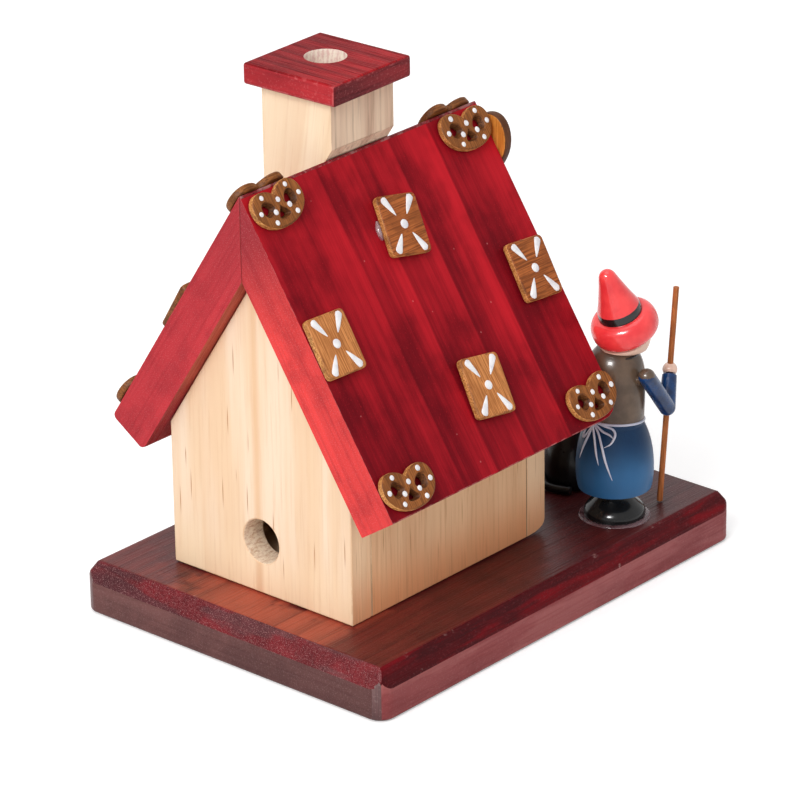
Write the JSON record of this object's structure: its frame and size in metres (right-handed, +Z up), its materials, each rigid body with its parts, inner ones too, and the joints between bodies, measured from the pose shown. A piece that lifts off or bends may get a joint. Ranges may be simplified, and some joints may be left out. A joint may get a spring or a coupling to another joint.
{
  "type": "incense smoker house",
  "caption": "Wooden gingerbread cottage for burning incense cones: the house lifts off a bevelled base, smoke leaves by a bored chimney, and a turned figure with a staff stands in the yard.",
  "frame": {"origin": "middle of the base board's underside", "axes": "+Z up, +Y towards the back gable with the air hole, so the front with the door and the figure faces -Y, +X towards the slope that carries the chimney"},
  "size_m": [0.0944, 0.13, 0.1325],
  "materials": {
    "pine": "bare sanded pine",
    "roof_red": "red stain under satin lacquer",
    "base_stain": "mahogany stain under satin lacquer",
    "gingerbread": "brown stain with white icing paint",
    "dish_brass": "stamped brass sheet",
    "tack_steel": "bright steel",
    "black_paint": "black gloss paint",
    "skirt_blue": "blue satin paint",
    "bodice_grey": "grey-brown gloss paint",
    "flesh": "flesh-coloured satin paint",
    "hat_red": "coral red gloss paint",
    "staff_wood": "stained wood"
  },
  "bodies": {
    "base": {"base_plate": "base_stain", "locating_board": "pine", "incense_dish": "dish_brass", "dish_tack": "tack_steel", "figure_foot": "black_paint", "figure_skirt": "skirt_blue", "figure_bodice": "bodice_grey", "figure_head": "flesh", "figure_hat": "hat_red", "figure_staff_arm": "skirt_blue", "figure_staff_hand": "flesh", "figure_free_arm": "skirt_blue", "figure_free_hand": "flesh", "walking_staff": "staff_wood", "cat_body": "black_paint", "cat_head": "black_paint", "cat_tail": "black_paint"},
    "house": {"back_gable": "pine", "front_gable": "pine", "left_wall": "pine", "right_wall": "pine", "left_roof_board": "roof_red", "right_roof_board": "roof_red", "chimney_block": "pine", "chimney_cap": "roof_red", "pretzel_left_1": "gingerbread", "pretzel_left_2": "gingerbread", "pretzel_left_3": "gingerbread", "pretzel_left_4": "gingerbread", "pretzel_right_1": "gingerbread", "pretzel_right_2": "gingerbread", "pretzel_right_3": "gingerbread", "pretzel_right_4": "gingerbread", "tile_left_1": "gingerbread", "tile_left_2": "gingerbread", "tile_left_3": "gingerbread", "tile_left_4": "gingerbread", "tile_right_1": "gingerbread", "tile_right_2": "gingerbread", "tile_right_3": "gingerbread", "gable_heart": "gingerbread", "front_door": "gingerbread", "door_knob": "dish_brass"}
  },
  "joints": [
    {"name": "house_lift", "type": "slide", "parent": "base", "child": "house", "axis": [0, 0, 1], "range_m": [0, 0.09]}
  ]
}
